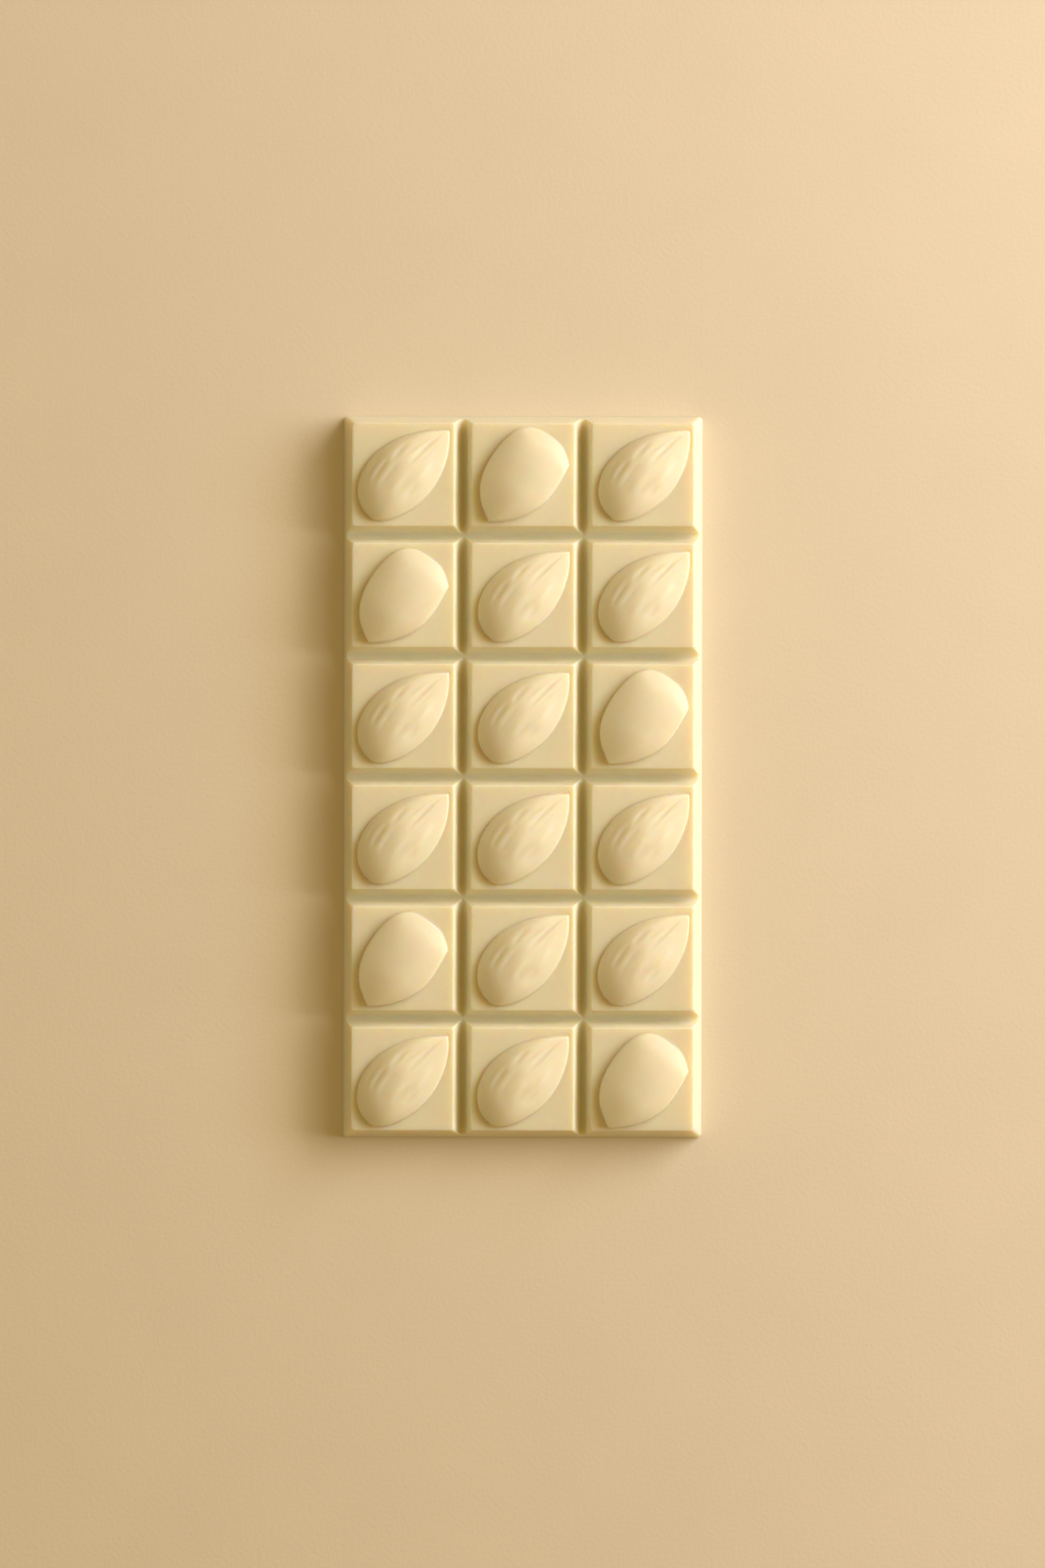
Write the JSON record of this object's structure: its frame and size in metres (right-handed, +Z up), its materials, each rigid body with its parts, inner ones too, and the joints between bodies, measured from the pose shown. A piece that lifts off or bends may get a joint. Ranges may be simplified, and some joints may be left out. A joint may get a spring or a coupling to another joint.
{
  "type": "chocolate bar",
  "caption": "Flat rectangular white chocolate tablet, scored by V grooves into squares that each carry an almond moulded in relief.",
  "frame": {"origin": "centre of the flat underside", "axes": "+X across the tablet, +Y along its length, +Z up out of the moulded face"},
  "size_m": [0.0772, 0.155, 0.0104],
  "materials": {
    "white_chocolate": "satin, cast in a polished mould"
  },
  "bodies": {
    "root": {"chocolate_bar": "white_chocolate"}
  },
  "joints": []
}
